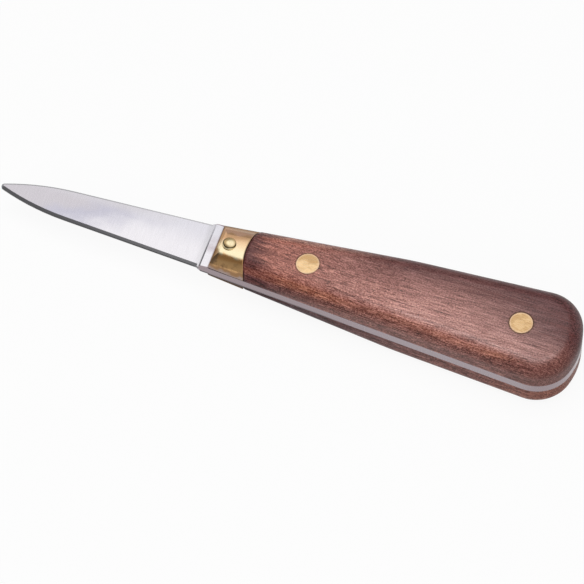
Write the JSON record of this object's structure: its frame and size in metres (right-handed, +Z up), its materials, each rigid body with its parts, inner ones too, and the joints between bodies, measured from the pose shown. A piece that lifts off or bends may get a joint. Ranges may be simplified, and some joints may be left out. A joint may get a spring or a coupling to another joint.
{
  "type": "oyster knife",
  "caption": "Oyster knife with a short lance-point steel blade, full tang, brass bolsters with a domed pin, and rounded hardwood scales held by flush brass rivets.",
  "frame": {"origin": "under the middle of the knife's length and width, on the plane of the lower scale's flat face", "axes": "+X along the knife from point to butt, +Y across the blade's width, +Z up through the blade's thickness"},
  "size_m": [0.16, 0.026, 0.018],
  "materials": {
    "steel": "fine satin grind",
    "bolster_brass": "polished, a little tarnished",
    "pin_brass": "polished dome",
    "scale_wood": "oiled satin rosewood",
    "rivet_brass": "ground flush, brushed"
  },
  "bodies": {
    "root": {"blade": "steel", "bolster_upper": "bolster_brass", "bolster_lower": "bolster_brass", "bolster_pin": "pin_brass", "scale_upper": "scale_wood", "scale_lower": "scale_wood", "front_rivet_sleeve": "rivet_brass", "front_rivet_post": "rivet_brass", "rear_rivet_sleeve": "rivet_brass", "rear_rivet_post": "rivet_brass"}
  },
  "joints": []
}
